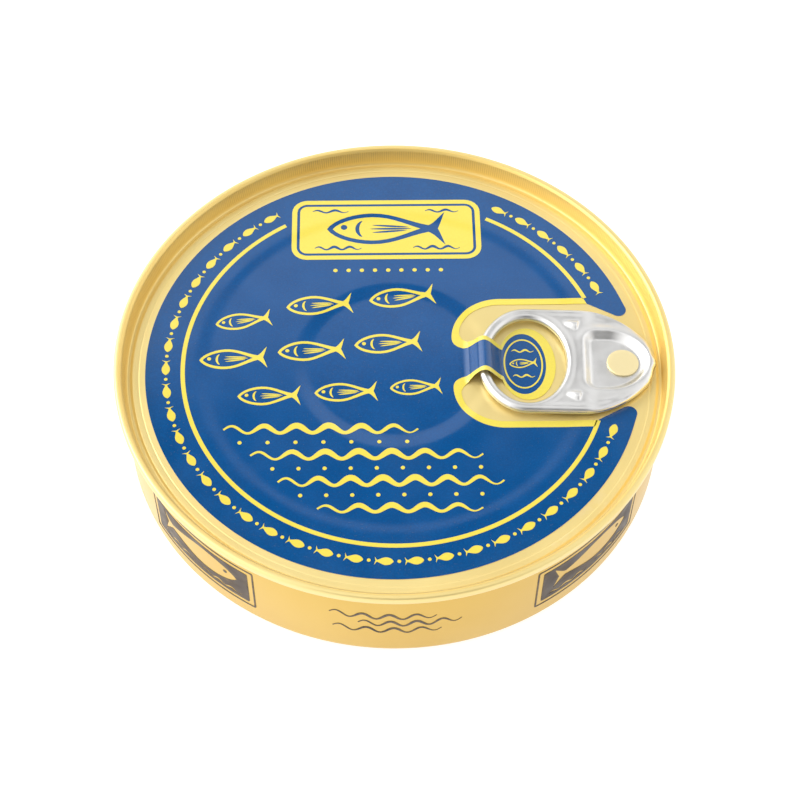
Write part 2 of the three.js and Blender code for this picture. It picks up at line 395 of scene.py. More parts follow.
def wornColour(tree, f, noise, clean, deep):
    # cloudy colour with rubbed edges
    base = mixColour(tree, mapNode(tree, noise["Cloud"], f["cloudSpan"]), clean, deep)
    amount, scale = f["wear"]
    wear = useGroup(tree, wearGroup, {"Amount": amount, "Breakup scale": scale})
    return mixColour(tree, wear["Wear"], base, f["worn"])


def addKnurlWithShade(tree, f, noise, colour, height):
    # fine upright ribs inside the rim with painted shade along them, and painted shade that deepens the
    # trough and chuck wall to orange
    place = addNode(tree, "ShaderNodeTexCoord").outputs["Object"]
    axes = addNode(tree, "ShaderNodeSeparateXYZ", {0: place}).outputs
    turn = mathNode(tree, "ARCTAN2", axes[1], axes[0])
    wave = mathNode(tree, "SINE", times(tree, turn, f["knurlCount"]))
    foot = mapNode(tree, axes[2], [(tinTop - depth) * mm for depth in f["knurlFoot"]])
    head = mapNode(tree, axes[2], [(tinTop - depth) * mm for depth in f["knurlHead"]], 1.0, 0.0)
    squares = mathNode(tree, "ADD", times(tree, axes[0], axes[0]), times(tree, axes[1], axes[1]))
    inner, outer = ([(radius * mm) ** 2 for radius in f[span]] for span in ("innerSpan", "troughShadeSpan"))
    inside = mapNode(tree, squares, inner, 1.0, 0.0)
    outside = mapNode(tree, squares, outer, 0.0, f["troughTint"])
    patchy = mapNode(tree, noise["Cloud"], f["knurlPatches"], f["knurlWeakest"])
    ridges = times(tree, wave, times(tree, foot, head, inside), patchy)
    height = mathNode(tree, "ADD", height, times(tree, ridges, f["knurlHeight"]))
    # painted shade: each rib crest is mixed towards a dark colour
    shade = times(tree, mapNode(tree, ridges, (0.0, 1.0)), f["knurlShade"])
    # painted shade: the trough and chuck wall turn deeper orange towards the rim
    troughShaded = mixColour(tree, times(tree, inside, outside), colour, f["troughPaintedShade"])
    return mixColour(tree, shade, troughShaded, f["knurlShadeColour"]), height


def goldMaterial(name, part, knurled):
    f = goldFinish
    material, tree, shader, noise = startFinish(
        name, f, f["rough"], Metallic=f[part + "Metal"], Coat_Weight=f["coat"],
        Coat_Roughness=f["coatRough"])
    colour = wornColour(tree, f, noise, f[part], f[part + "Deep"])
    height = times(tree, noise["Grain"], f["grainHeight"])
    if knurled:
        colour, height = addKnurlWithShade(tree, f, noise, colour, height)
    tree.links.new(colour, shader.inputs["Base Color"])
    bumpInto(tree, shader, height, *f["bump"])
    return material


def tabMaterial():
    f = tabFinish
    material, tree, shader, noise = startFinish("bareAluminium", f, f["rough"], Metallic=1.0)
    tree.links.new(wornColour(tree, f, noise, f["clean"], f["dull"]), shader.inputs["Base Color"])
    dents = mapNode(tree, noise["Mask"], f["dentSpan"])
    height = mathNode(tree, "ADD", times(tree, noise["Grain"], f["grainHeight"]), dents)
    bumpInto(tree, shader, height, *f["bump"])
    return material


def filmMaterial(name, clean, deep, rough):
    f = filmFinish
    material, tree, shader, noise = startFinish(name, f, f[rough], IOR=f["ior"])
    cloud = times(tree, mapNode(tree, noise["Cloud"], f["cloudSpan"]), f["cloudShare"])
    mottle = times(tree, mapNode(tree, noise["Grain"], f["cloudSpan"]), f["mottleShare"])
    base = mixColour(tree, mathNode(tree, "ADD", cloud, mottle), f[clean], f[deep])
    speck = mapNode(tree, noise["Grain"], f["speckSpan"], 0.0, f["speckTint"])
    tree.links.new(mixColour(tree, speck, base, f["speck"]), shader.inputs["Base Color"])
    bumpInto(tree, shader, noise["Grain"], *f["bump"])
    return material


def wallInkMaterial():
    f = wallInkFinish
    material, tree, shader, noise = startFinish("wallInk", f, f["rough"], Specular_IOR_Level=f["shine"])
    tree.links.new(wornColour(tree, f, noise, f["dark"], f["darkWarm"]), shader.inputs["Base Color"])
    bumpInto(tree, shader, noise["Grain"], *f["bump"])
    return material


# the wall's material carries painted shade: a darker copy of the lid's gold
shadedWallGold = goldMaterial("goldWallPaintedShade", "wall", False)
lidGold = goldMaterial("goldLid", "lid", True)
rivetGold = goldMaterial("goldRivet", "rivet", False)
aluminium = tabMaterial()
blueFilm = filmMaterial("blueFilm", "blue", "blueDeep", "rough")
yellowInk = filmMaterial("yellowInk", "yellow", "yellowDeep", "rough")
filmBack = filmMaterial("filmBack", "back", "back", "backRough")
darkInk = wallInkMaterial()
print("stage: finishes are mixed")


# Shaping helpers, all in millimetres

def smooth(t):
    t = min(max(t, 0.0), 1.0)
    return t * t * (3 - 2 * t)


def ease(value, start, run):
    # 0 up to the start, 1 once the run is past, and smooth between
    return smooth((value - start) / run)


def editAll():
    bpy.ops.object.mode_set(mode="EDIT")
    bpy.ops.mesh.select_all(action="SELECT")


def leaveEdit():
    # the faces are turned to look outward first
    bpy.ops.mesh.select_all(action="SELECT")
    bpy.ops.mesh.normals_make_consistent(inside=False)
    bpy.ops.object.mode_set(mode="OBJECT")


def raiseBy(height):
    return {"TRANSFORM_OT_translate": {"value": (0, 0, height)}}


def turnBy(x, y, degrees):
    # a point turned about the origin
    c, s = math.cos(math.radians(degrees)), math.sin(math.radians(degrees))
    return x * c - y * s, x * s + y * c


def arcPoints(x, y, halfX, halfY, start, end, steps):
    points = []
    for i in range(steps + 1):
        angle = math.radians(start + (end - start) * i / steps)
        points.append((x + halfX * math.cos(angle), y + halfY * math.sin(angle)))
    return points


def mirrored(half):
    # a half outline above the x axis, closed by its own mirror image
    return half + [(x, -y) for x, y in reversed(half) if y > 1e-6]


def rounded(corners):
    # a profile of (radius, height, fillet) corners with every fillet turned into a short arc
    points = [Vector(corners[0][:2])]
    for before, here, after in zip(corners, corners[1:], corners[2:]):
        spot = Vector(here[:2])
        back = Vector(before[:2]) - spot
        ahead = Vector(after[:2]) - spot
        if here[2] <= 0:
            points.append(spot)
            continue
        half = back.angle(ahead) / 2
        reach = min(here[2] / math.tan(half), 0.48 * back.length, 0.48 * ahead.length)
        radius = reach * math.tan(half)
        centre = spot + (back.normalized() + ahead.normalized()).normalized() * radius / math.sin(half)
        first = spot + back.normalized() * reach - centre
        last = spot + ahead.normalized() * reach - centre
        turn = first.angle_signed(last)
        steps = max(2, round(abs(math.degrees(turn)) / 14))
        for i in range(steps + 1):
            points.append(centre + Matrix.Rotation(-turn * i / steps, 2) @ first)
    points.append(Vector(corners[-1][:2]))
    return [(p.x, p.y) for p in points]


def turnedPiece(name, profile, columns):
    # a ring is extruded and resized from point to point of the profile, and both ends close on the axis
    clearSelection()
    radius, height = profile[1]
    bpy.ops.mesh.primitive_circle_add(vertices=columns, radius=radius, fill_type="NOTHING")
    piece = bpy.context.object
    piece.name = name
    editAll()
    bpy.ops.transform.translate(value=(0, 0, height))
    for nextRadius, nextHeight in profile[2:-1]:
        bpy.ops.mesh.extrude_region_move(**raiseBy(nextHeight - height))
        k = nextRadius / radius
        bpy.ops.transform.resize(value=(k, k, 1), center_override=(0, 0, nextHeight))
        radius, height = nextRadius, nextHeight
    bpy.ops.mesh.extrude_region_move(**raiseBy(profile[-1][1] - height))
    bpy.ops.mesh.merge(type="CENTER")
    closeStart(piece, profile)
    leaveEdit()
    return piece


def closeStart(piece, profile):
    # the open ring that the profile began with is pulled in to its pole
    bpy.ops.mesh.select_all(action="DESELECT")
    bpy.ops.mesh.select_mode(type="EDGE")
    shape = bmesh.from_edit_mesh(piece.data)
    for edge in shape.edges:
        edge.select_set(edge.is_boundary)
    bmesh.update_edit_mesh(piece.data)
    bpy.ops.mesh.extrude_region_move(**raiseBy(profile[0][1] - profile[1][1]))
    bpy.ops.mesh.merge(type="CENTER")
    bpy.ops.mesh.select_mode(type="VERT")


def applyModifier(piece, kind, **settings):
    pick(piece)
    modifier = piece.modifiers.new(kind.lower(), kind)
    for name, value in settings.items():
        setattr(modifier, name, value)
    bpy.ops.object.modifier_apply(modifier=modifier.name)


def gridSheet(name, columns, rows, placeOf):
    # a flat grid whose vertices are moved by placeOf(across, along), both from 0 to 1
    clearSelection()
    bpy.ops.mesh.primitive_grid_add(x_subdivisions=columns, y_subdivisions=rows, size=1)
    sheet = bpy.context.object
    sheet.name = name
    for vertex in sheet.data.vertices:
        vertex.co = placeOf(vertex.co.x + 0.5, vertex.co.y + 0.5)
    editAll()
    bpy.ops.mesh.remove_doubles(threshold=0.002)
    leaveEdit()
    return sheet


def flatShape(name, loops):
    # closed outlines filled by even and odd, as one flat mesh
    clearSelection()
    curve = bpy.data.curves.new(name, "CURVE")
    curve.dimensions = "2D"
    curve.fill_mode = "BOTH"
    for loop in loops:
        spline = curve.splines.new("POLY")
        spline.points.add(len(loop) - 1)
        for spot, (x, y) in zip(spline.points, loop):
            spot.co = (x, y, 0, 1)
        spline.use_cyclic_u = True
    pick(putObject(name, curve))
    bpy.ops.object.convert(target="MESH")
    return bpy.context.object


def faceOutward(piece, axis):
    if sum(face.normal[axis] * face.area for face in piece.data.polygons) < 0:
        piece.data.flip_normals()


def gridCut(piece, xLines, yLines):
    # straight cuts across a flat mesh, so that it can follow the relief under it
    pick(piece)
    editAll()
    bpy.ops.mesh.remove_doubles(threshold=0.001)
    for lines, normal in ((xLines, (1, 0, 0)), (yLines, (0, 1, 0))):
        for place in lines:
            bpy.ops.mesh.select_all(action="SELECT")
            spot = (place, 0, 0) if normal[0] else (0, place, 0)
            bpy.ops.mesh.bisect(plane_co=spot, plane_no=normal)
    bpy.ops.object.mode_set(mode="OBJECT")


def spaced(low, high, step):
    count = max(1, round((high - low) / step))
    return [low + (high - low) * i / count for i in range(count + 1)]


def finishPiece(piece, material, node=None, angle=38):
    # scaled to metres about the origin, shaded, coloured and tied to the tin
    pick(piece)
    piece.data.materials.clear()
    piece.data.materials.append(material)
    piece.scale = (mm, mm, mm)
    bpy.ops.object.transform_apply(location=True, rotation=True, scale=True)
    bpy.ops.object.shade_smooth_by_angle(angle=math.radians(angle))
    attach(piece, "root")
    if node:
        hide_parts(node)
    return piece


# Relief of the pressed end

panelSteps = [(35.6, 2.8, 0.12), (17.3, 2.8, 0.17)]      # radius, run and drop of each


def panelHeight(radius, spread=0.0):
    # the panel steps down twice towards its middle; spread softens the steps, as film does
    height = panelTop
    for centre, run, drop in panelSteps:
        wide = run + spread
        height -= drop * (1 - smooth((radius - centre + wide / 2) / wide))
    return height


# Body: the drawn cup

cupShape = {
    "columns": 288,
    "cornerRadius": 2.0,
    "standInner": 45.6,
    "standSlope": 1.0,
    "standFillet": 0.5,
    "recess": 0.9,
    "ringDrop": 0.3,
    "ringOuter": 36.0,
    "ringInner": 17.5,
    "ringSlope": 1.4,
    "ringFillet": 1.2,
    "lipThickness": 0.27,
    "lipFillet": 0.08,
    "plateDepth": 0.72,       # plate's underside below the panel's outer level
}


def makeCup():
    c = cupShape
    soft, lip = c["ringFillet"], wallRadius - c["lipThickness"]
    ring = c["recess"] - c["ringDrop"]
    plate = panelTop - c["plateDepth"]
    corners = [
        (0, c["recess"], 0),
        (c["ringInner"] - c["ringSlope"], c["recess"], soft),
        (c["ringInner"], ring, soft),
        (c["ringOuter"], ring, soft),
        (c["ringOuter"] + c["ringSlope"], c["recess"], soft),
        (c["standInner"] - c["standSlope"], c["recess"], c["standFillet"]),
        (c["standInner"], 0, c["standFillet"]),
        (wallRadius, 0, c["cornerRadius"]),
        (wallRadius, wallTop * 0.55, 0),
        (wallRadius, wallTop, c["lipFillet"]),
        (lip, wallTop, c["lipFillet"]),
        (lip, plate, 0),
        (0, plate, 0),
    ]
    cup = turnedPiece("tinCup", rounded(corners), c["columns"])
    finishPiece(cup, shadedWallGold, "can_body")


makeCup()
print("stage: cup is drawn")


# Lid: stepped panel, score, countersink, chuck wall, rolled seam and rivet

endShape = {
    "columns": 360,
    "scoreRadius": 47.1,
    "scoreHalf": 0.2,
    "scoreDepth": 0.05,
    "scoreFillets": (0.06, 0.08),
    "panelEdge": 48.2,
    "panelFillet": 0.22,
    "grooveDepth": 0.28,
    "grooveInner": 48.62,
    "grooveOuter": 49.2,
    "grooveFillet": 0.3,
    "chuckFoot": (49.42, 0.5, 0.6),       # radius, height above the groove and fillet
    "chuckTop": (49.85, 0.42, 0.45),      # radius, depth below the top and fillet
    "crownInner": 50.25,
    "crownFillets": (0.3, 0.55),
    "seamStraight": 1.65,
    "seamCurl": 0.9,
    "seamDepth": 2.95,
    "seamFoot": 50.25,
    "skirtGap": 0.3,
    "plateGap": 0.03,                     # the end's plate rests on the cup's
    "relief": [(15.6, 19.0, 0.28), (34.3, 36.9, 0.26)],      # rings that follow the two steps
}

rivetShape = {
    "x": 42.0,
    "columns": 96,
    "sunk": 0.2,
    "bossFoot": 4.4,
    "bossSide": 4.3,
    "bossTop": 3.7,
    "shank": 1.7,
    "head": 2.95,
    "headTop": 2.25,
    "headThickness": 0.42,
    "headDome": 0.02,
}


def makeLid():
    e = endShape
    groove = panelTop - e["grooveDepth"]
    skirt = wallRadius - e["skirtGap"]
    foot = tinTop - e["seamDepth"]
    plate = panelTop - cupShape["plateDepth"] + e["plateGap"]
    relief = [(r, panelHeight(r), 0) for rings in e["relief"] for r in spaced(*rings)]
    lip, cut = e["scoreFillets"]
    footRadius, footHeight, footFillet = e["chuckFoot"]
    topRadius, topDepth, topFillet = e["chuckTop"]
    edge = [
        (e["scoreRadius"] - e["scoreHalf"], panelTop, lip),
        (e["scoreRadius"], panelTop - e["scoreDepth"], cut),
        (e["scoreRadius"] + e["scoreHalf"], panelTop, lip),
        (e["panelEdge"], panelTop, e["panelFillet"]),
        (e["grooveInner"], groove, e["grooveFillet"]),
        (e["grooveOuter"], groove, e["grooveFillet"]),
        (footRadius, groove + footHeight, footFillet),
        (topRadius, tinTop - topDepth, topFillet),
        (e["crownInner"], tinTop, e["crownFillets"][0]),
        (seamRadius, tinTop, e["crownFillets"][1]),
        (seamRadius, tinTop - e["seamStraight"], e["seamCurl"]),
        (e["seamFoot"], foot, 0.05),
        (skirt, foot, 0),
        (skirt, plate, 0),
        (0, plate, 0),
    ]
    corners = [(0, panelHeight(0), 0)] + relief + edge
    lid = turnedPiece("tinEnd", rounded(corners), e["columns"])
    finishPiece(lid, lidGold, "lid", 50)


makeLid()
print("stage: end is pressed")


# Ring tab

tabShape = {
    "ringX": 24.3,
    "ringHalfLength": 9.1,
    "halfWidth": 11.6,
    "shoulderX": 34.0,
    "shoulderBend": 5.2,
    "noseCorner": (46.6, 4.7),
    "noseBend": (3.1, 3.8),
    "noseTip": [(48.1, 0.5), (47.65, 1.6), (47.3, 3.1)],
    "noseDip": 0.3,
    "dipSpan": (41.5, 5),
    "turn": -0.6,
    "holeX": 24.4,
    "holeY": -0.2,
    "holeHalfLength": 7.2,
    "holeHalfWidth": 9.5,
    "thickness": 1.8,
    "edgeRound": 0.9,
    "edgeFade": 0.8,
    "webDepth": 0.14,
    "webFromEdge": (1.0, 1.1),
    "webFromIsland": (1.6, 1.6),
    "islandX": 36.2,
    "islandCorner": 1.0,
    "islandHalf": 5.3,
    "islandFlatEnd": 39.3,
    "islandTipX": 45.4,
    "islandBend": (2.8, 2.9, 0.1),
    "islandDepth": 1.35,
    "islandWall": 1.45,
    "wallEase": 0.4,                      # share of the island's wall that is an S-curve
    "bandDrop": 0.42,
    "bandAlong": (34.5, 3),
    "bandFromIsland": (1.6, 2.2),
    "bumpX": 32.6,
    "bumpY": 8.0,
    "bumpHeight": 0.56,
    "bumpWay": (0.97, -0.24),
    "bumpClimb": (-1.9, 2.6),
    "bumpCliff": (1.15, 0.28),
    "bumpWiden": (-1.7, 3.0),
    "bumpHalf": (0.75, 0.5),              # half width at the foot, and what the wide end adds
    "around": 420,
    "across": 56,
}


def bezierPoints(a, b, c, d, steps):
    points = []
    for i in range(steps + 1):
        t = i / steps
        w = ((1 - t) ** 3, 3 * t * (1 - t) ** 2, 3 * t * t * (1 - t), t ** 3)
        points.append(tuple(sum(k * p[axis] for k, p in zip(w, (a, b, c, d))) for axis in (0, 1)))
    return points


def tabOutline():
    t = tabShape
    nose, shoulder = t["noseCorner"], (t["shoulderX"], t["halfWidth"])
    side = bezierPoints(nose, (nose[0] - t["noseBend"][0], nose[1] + t["noseBend"][1]),
                        (shoulder[0] + t["shoulderBend"], shoulder[1]), shoulder, 24)
    top = [(t["shoulderX"] - 0.4 * i, t["halfWidth"]) for i in range(1, 24)]
    ring = arcPoints(t["ringX"], 0, t["ringHalfLength"], t["halfWidth"], 90, 180, 44)
    return mirrored(t["noseTip"] + side + top + ring)


def islandOutline():
    t = tabShape
    corner = t["islandCorner"]
    rise, reach, drop = t["islandBend"]
    tip = bezierPoints((t["islandTipX"], 0), (t["islandTipX"], rise),
                       (t["islandFlatEnd"] + reach, t["islandHalf"] - drop),
                       (t["islandFlatEnd"], t["islandHalf"]), 24)
    back = arcPoints(t["islandX"] + corner, t["islandHalf"] - corner, corner, corner, 90, 180, 6)
    return mirrored(tip + back)


def turnedWithTab(x, y):
    # the tab sits a little askew, turned about the middle of its ring
    x, y = turnBy(x - tabShape["ringX"], y, tabShape["turn"])
    return tabShape["ringX"] + x, y


def evenly(loop, count):
    # the same closed outline with count points spaced evenly along it
    spots = [Vector(p) for p in loop] + [Vector(loop[0])]
    lengths = [(b - a).length for a, b in zip(spots, spots[1:])]
    total = sum(lengths)
    points, index, passed = [], 0, 0.0
    for i in range(count):
        goal = total * i / count
        while passed + lengths[index] < goal:
            passed += lengths[index]
            index += 1
        part = (goal - passed) / lengths[index]
        points.append(spots[index].lerp(spots[index + 1], part))
    return points


def distanceTo(loop):
    # a function that gives the distance from a point to a closed outline
    dense = evenly(loop, 1600)
    tree = KDTree(len(dense))
    for i, p in enumerate(dense):
        tree.insert((p.x, p.y, 0), i)
    tree.balance()

    def measure(x, y):
        index = tree.find((x, y, 0))[1]
        spot, here = Vector((x, y)), dense[index]
        best = (spot - here).length
        for end in (dense[index - 1], dense[(index + 1) % len(dense)]):
            side = end - here
            part = min(max((spot - here).dot(side) / side.length_squared, 0), 1)
            best = min(best, (spot - here - side * part).length)
        return best

    return measure


def insideLoop(loop, x, y):
    inside = False
    for (ax, ay), (bx, by) in zip(loop, loop[1:] + loop[:1]):
        if (ay > y) != (by > y) and x < ax + (bx - ax) * (y - ay) / (by - ay):
            inside = not inside
    return inside


def makeTab():
    t = tabShape
    outline = tabOutline()
    rim = evenly(outline, t["around"])
    middle = Vector((t["holeX"], t["holeY"]))
    hole = []
    for p in rim:
        angle = math.atan2(p.y - t["holeY"], p.x - t["holeX"])
        k = 1 / math.hypot(math.cos(angle) / t["holeHalfLength"], math.sin(angle) / t["holeHalfWidth"])
        hole.append(middle + Vector((k * math.cos(angle), k * math.sin(angle))))
    holeLoop = arcPoints(t["holeX"], t["holeY"], t["holeHalfLength"], t["holeHalfWidth"], 0, 359, 359)
    toRim = distanceTo(outline)
    toHole = distanceTo(holeLoop)
    island = islandOutline()
    toIsland = distanceTo(island)
    half = t["thickness"] / 2
    middleZ = tabLow.z + half

    def bump(x, y):
        # a wedge that climbs towards the nose and ends in a small cliff
        side = 1 if y > 0 else -1
        dx, dy = x - t["bumpX"], y - side * t["bumpY"]
        c, d = t["bumpWay"]
        along, aside = dx * c + dy * d, dy * c - dx * d
        width = t["bumpHalf"][0] + t["bumpHalf"][1] * ease(along, *t["bumpWiden"])
        rise = ease(along, *t["bumpClimb"]) * (1 - ease(along, *t["bumpCliff"]))
        return t["bumpHeight"] * rise * (1 - smooth(abs(aside) / width - 0.1))

    def curl(gap):
        return math.sqrt(max(0.0, 1 - (1 - min(gap / t["edgeRound"], 1)) ** 2))

    def dip(x):
        return t["noseDip"] * ease(x, *t["dipSpan"])

    def topHeight(x, y):
        gap = min(toRim(x, y), toHole(x, y))
        away = toIsland(x, y) * (-1 if insideLoop(island, x, y) else 1)
        web = t["webDepth"] * ease(gap, *t["webFromEdge"]) * ease(away, *t["webFromIsland"])
        ramp = min(max(away / t["islandWall"], 0), 1)
        sunk = t["islandDepth"] * (1 - t["wallEase"] * smooth(ramp) - (1 - t["wallEase"]) * ramp)
        band = t["bandDrop"] * ease(x, *t["bandAlong"]) * ease(away, *t["bandFromIsland"])
        return half * curl(gap) + (bump(x, y) - web - sunk - band) * smooth(gap / t["edgeFade"])

    def underHeight(x, y):
        gap = min(toRim(x, y), toHole(x, y))
        return -half * curl(gap) - dip(x) * curl(gap)

    turnSteps = 10
    bend = [t["edgeRound"] * (1 - math.cos(math.pi / 2 * k / turnSteps)) for k in range(turnSteps + 1)]

    def reachAt(step, length):
        # the points crowd where the edges turn under
        if step <= turnSteps:
            return bend[step]
        if step >= t["across"] - turnSteps:
            return length - bend[t["across"] - step]
        part = (step - turnSteps) / (t["across"] - 2 * turnSteps)
        return t["edgeRound"] + (length - 2 * t["edgeRound"]) * part

    def placeOf(along, section):
        column = round(along * t["around"]) % t["around"]
        step = round(section * 2 * t["across"])
        lift = topHeight if step <= t["across"] else underHeight
        step = min(step, 2 * t["across"] - step)
        start, way = hole[column], rim[column] - hole[column]
        spot = start + way * (reachAt(step, way.length) / way.length)
        height = 0 if step in (0, t["across"]) else lift(spot.x, spot.y)
        height -= 0.5 * dip(spot.x) * (1 - curl(toRim(spot.x, spot.y)))
        return Vector((*turnedWithTab(spot.x, spot.y), middleZ + height))

    tab = gridSheet("ringTab", t["around"], 2 * t["across"], placeOf)
    finishPiece(tab, aluminium, "pull_tab", 85)


def makeRivet():
    r = rivetShape
    bossTop = tabLow.z - 0.03
    headLow = tabLow.z + tabShape["thickness"] - tabShape["islandDepth"] + 0.02
    headTop = headLow + r["headThickness"]
    corners = [
        (0, panelTop - r["sunk"], 0),
        (r["bossFoot"], panelTop - r["sunk"], 0),
        (r["bossSide"], panelTop + 0.02, 0.1),
        (r["bossTop"], bossTop, 0.2),
        (r["shank"], bossTop, 0),
        (r["shank"], headLow, 0),
        (r["head"], headLow, 0.12),
        (r["head"], headTop - 0.06, 0.16),
        (r["headTop"], headTop, 0.5),
        (0, headTop + r["headDome"], 0),
    ]
    rivet = turnedPiece("tabRivet", rounded(corners), r["columns"])
    x, y = turnedWithTab(r["x"], 0)
    rivet.location = (x * mm, y * mm, 0)
    finishPiece(rivet, rivetGold, "lid", 50)


makeTab()
makeRivet()
print("stage: ring tab is curled and riveted")


# Film label

filmShape = {
    "lift": 0.01,
    "thickness": 0.055,
    "stepSpread": 0.8,
    "radius": 45.6,
    "centreX": -0.27,
    "turn": 1.6,
    "cutHalf": 13.3,
    "cutStart": 20.0,
    "cutEnd": 36.5,
    "lobe": (12.1, 6.5),
    "lobeLead": [(1.7, -2.2), (0.95, -1.55), (0.4, -0.95)],
    "neckX": 14.6,
    "neckHalf": 3.85,
    "neckSteps": (2.5, 1.0),
    "neckFlare": 0.05,
    "horn": (42.3, 11.8),
    "hornRadius": 1.5,
    "disc": (24.4, 5.3, 8.1),
    "discShift": -0.5,        # the folded tongue lands a little off the middle line
    "foldStart": 12.7,
    "foldTop": 16.6,
    "foldEnd": 20.6,
    "foldHeight": 3.1,
    "foldSide": (4.0, 2.0),
    "shiftSpan": (14.8, 4.4),
    "outerArc": (18.5, 180),
    "hornArc": (-115, 25),
    "columns": 360,
    "rings": [(4.0, 12.4, 1.2), (12.8, 21.0, 0.27), (21.8, 33.0, 1.1), (33.6, 38.0, 0.36),
              (39.0, 47.0, 1.0)],         # radii of the sheet, closer where it steps or folds
}


def toTin(x, y):
    # the label's own axes to the tin's
    return turnBy(x, y, filmShape["turn"])


def filmHeight(x, y):
    # top of the film at a point of the tin, with the tongue folded up over the ring
    f = filmShape
    low = panelHeight(math.hypot(x, y), f["stepSpread"]) + f["lift"] + f["thickness"]
    along, aside = turnBy(x, y, -f["turn"])
    if not f["foldStart"] < along < f["foldEnd"] or abs(aside) > sum(f["foldSide"]):
        return low
    if along < f["foldTop"]:
        rise = ease(along, f["foldStart"], f["foldTop"] - f["foldStart"])
    else:
        rise = 1 - ease(along, f["foldTop"], f["foldEnd"] - f["foldTop"])
    rise *= 1 - ease(abs(aside), *f["foldSide"])
    return low + rise * (panelTop + f["foldHeight"] + f["thickness"] - low)


def tongueAndCut(tongue, cut, side):
    # one side's points, the tongue's led across to where the disc has landed
    f = filmShape
    led = [(x, side * y + f["discShift"] * ease(x, *f["shiftSpan"])) for x, y in tongue]
    return led + [(x, side * y) for x, y in cut]


def filmSide(side, slim=0.0):
    # one side of the film's inner edge, from the disc's far end round to the open end of the cut-out
    f = filmShape
    x, halfX, halfY = f["disc"]
    lobeX, lobeY = f["lobe"]
    neckX, neckY = f["neckX"], f["neckHalf"] - slim
    neck = math.degrees(math.asin(f["neckHalf"] / halfY))
    tongue = (arcPoints(x, 0, halfX - slim, halfY - slim, 0, 180 - neck, 40)
              + [(neckX + step, neckY) for step in f["neckSteps"]]
              + [(neckX - slim, neckY + f["neckFlare"])])
    cut = ([(lobeX + dx - slim, lobeY + dy) for dx, dy in f["lobeLead"]]
           + arcPoints(f["cutStart"], lobeY, f["cutStart"] - lobeX + slim,
                       f["cutHalf"] - lobeY + slim, 180, 90, 18)
           + [(f["cutEnd"], f["cutHalf"] + slim)])
    return tongueAndCut(tongue, cut, side)


def labelOutline():
    f = filmShape
    outer = (arcPoints(*f["horn"], f["hornRadius"], f["hornRadius"], *f["hornArc"], 12)
             + arcPoints(f["centreX"], 0, f["radius"], f["radius"], *f["outerArc"], 120))
    upper = filmSide(1) + outer
    lower = filmSide(-1) + [(x, -y) for x, y in outer]
    return upper + lower[::-1][1:-1]


def makeFilm():
    f = filmShape
    radii = [0.0, 1.5]
    for low, high, step in f["rings"]:
        radii += spaced(low, high, step)

    def placeOf(around, outwards):
        radius = radii[round(outwards * (len(radii) - 1))]
        angle = 2 * math.pi * round(around * f["columns"]) / f["columns"]
        x, y = radius * math.cos(angle), radius * math.sin(angle)
        return Vector((x, y, filmHeight(x, y)))

    film = gridSheet("labelFilm", f["columns"], len(radii) - 1, placeOf)
    applyModifier(film, "SOLIDIFY", thickness=f["thickness"], offset=-1)
    cutter = flatShape("labelCutter", [[toTin(x, y) for x, y in labelOutline()]])
    editAll()
    bpy.ops.transform.translate(value=(0, 0, panelTop - 3))
    bpy.ops.mesh.extrude_region_move(**raiseBy(8))
    leaveEdit()
    applyModifier(film, "BOOLEAN", operation="INTERSECT", solver="EXACT", object=cutter)
    bpy.data.objects.remove(cutter)
    finishPiece(film, blueFilm, "label", 42)
    film.data.materials.append(filmBack)
    for face in film.data.polygons:
        face.material_index = 1 if face.normal.z < 0.4 else 0


makeFilm()
print("stage: film is cut")


# Print on the label

printShape = {
    "lift": 0.035,
    "thickness": 0.045,
    "step": 0.7,
    "blueDisc": (23.75, 4.2, 6.85),
    "tongueLine": [(18.6, 2.95), (16.5, 2.95), (14.4, 3.0), (13.4, 3.15)],
    "cutLead": [(12.6, 3.3), (11.8, 3.65), (11.15, 4.2), (10.8, 4.9)],
    "cutArc": (20.0, 5.6, 9.3, 9.05),
    "cutEnd": (35.9, 14.65),
    "ringRadius": 39.0,
    "ringWidth": 0.8,
}


def liftOntoFilm(piece):
    for vertex in piece.data.vertices:
        x, y = toTin(vertex.co.x, vertex.co.y)
        vertex.co = (x, y, filmHeight(x, y) + printShape["lift"])


def inkPiece(name, loops, xLines, yLines):
    p = printShape
    ink = flatShape(name, loops)
    gridCut(ink, xLines, yLines)
    liftOntoFilm(ink)
    pick(ink)
    editAll()
    leaveEdit()
    faceOutward(ink, 2)
    applyModifier(ink, "SOLIDIFY", thickness=p["thickness"], offset=-1)
    return finishPiece(ink, yellowInk)


def makeBorder():
    # the yellow edge that runs round the cut-out, along the tongue and round the disc
    def printSide(side):
        p = printShape
        x, halfX, halfY = p["blueDisc"]
        tongue = arcPoints(x, 0, halfX, halfY, 0, 154, 34) + p["tongueLine"]
        cut = p["cutLead"] + arcPoints(*p["cutArc"], 180, 90, 20) + [p["cutEnd"]]
        return tongueAndCut(tongue, cut, side)

    inner = filmSide(-1, -0.02)[::-1][:-1] + filmSide(1, -0.02)
    outer = printSide(-1)[::-1][:-1] + printSide(1)
    inkPiece("labelBorder", [inner + outer[::-1]],
             spaced(10.0, 22.0, 0.3) + spaced(22.7, 36.2, 0.7), spaced(-14.7, 14.7, 0.7))


def circleLoop(x, y, radius, steps):
    return arcPoints(x, y, radius, radius, 0, 360 - 360 / steps, steps - 1)


def boxLoop(x0, y0, x1, y1, corner):
    loop = []
    left, right, low, high = x0 + corner, x1 - corner, y0 + corner, y1 - corner
    for start, x, y in ((0, right, high), (90, left, high), (180, left, low), (270, right, low)):
        loop += arcPoints(x, y, corner, corner, start, start + 90, 6)
    return loop


